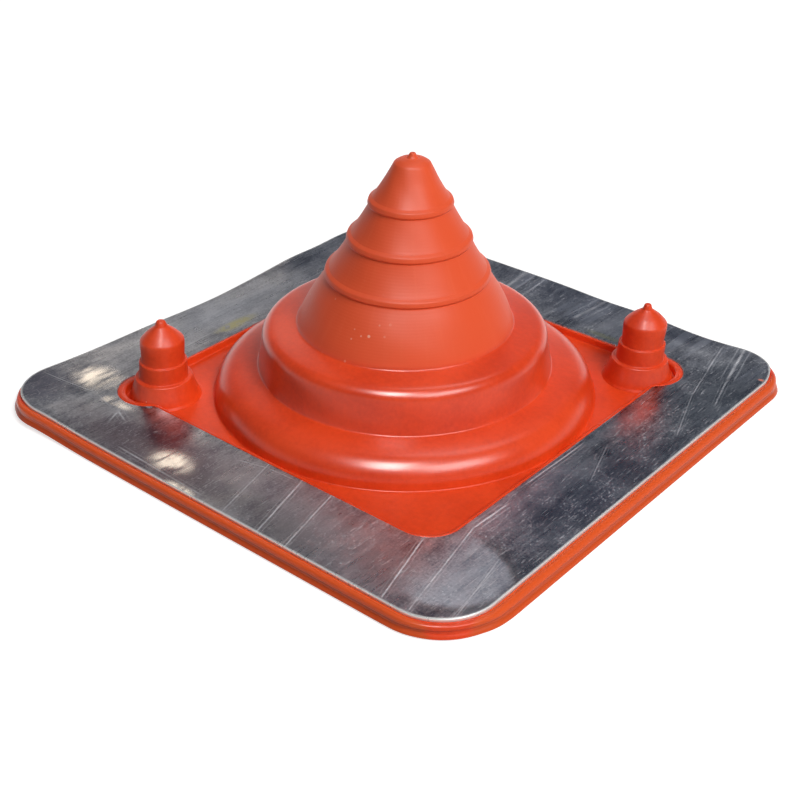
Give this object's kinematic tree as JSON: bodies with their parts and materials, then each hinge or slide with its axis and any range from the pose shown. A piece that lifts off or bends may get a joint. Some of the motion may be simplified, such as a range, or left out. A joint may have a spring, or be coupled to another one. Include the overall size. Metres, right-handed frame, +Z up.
{
  "type": "pipe flashing boot",
  "caption": "Roof flashing boot: a stepped silicone cone, closed at its tip, on a square flange stiffened by a flat aluminium frame, with two closed cable nipples.",
  "frame": {"origin": "centre of the flange's underside, where the cone's axis meets the surface that it lies on", "axes": "+Z up along the cone, X and Y along the sides of the square flange; the two nipples stand in the corners at (-X, -Y) and (+X, +Y)"},
  "size_m": [0.1146, 0.1146, 0.0499],
  "materials": {
    "silicone": "orange-red moulded silicone, satin with soft highlights",
    "aluminium": "dull rolled sheet with fine streaks and long light scratches"
  },
  "bodies": {
    "root": {"rubber_boot": "silicone", "aluminium_frame": "aluminium"}
  },
  "joints": []
}
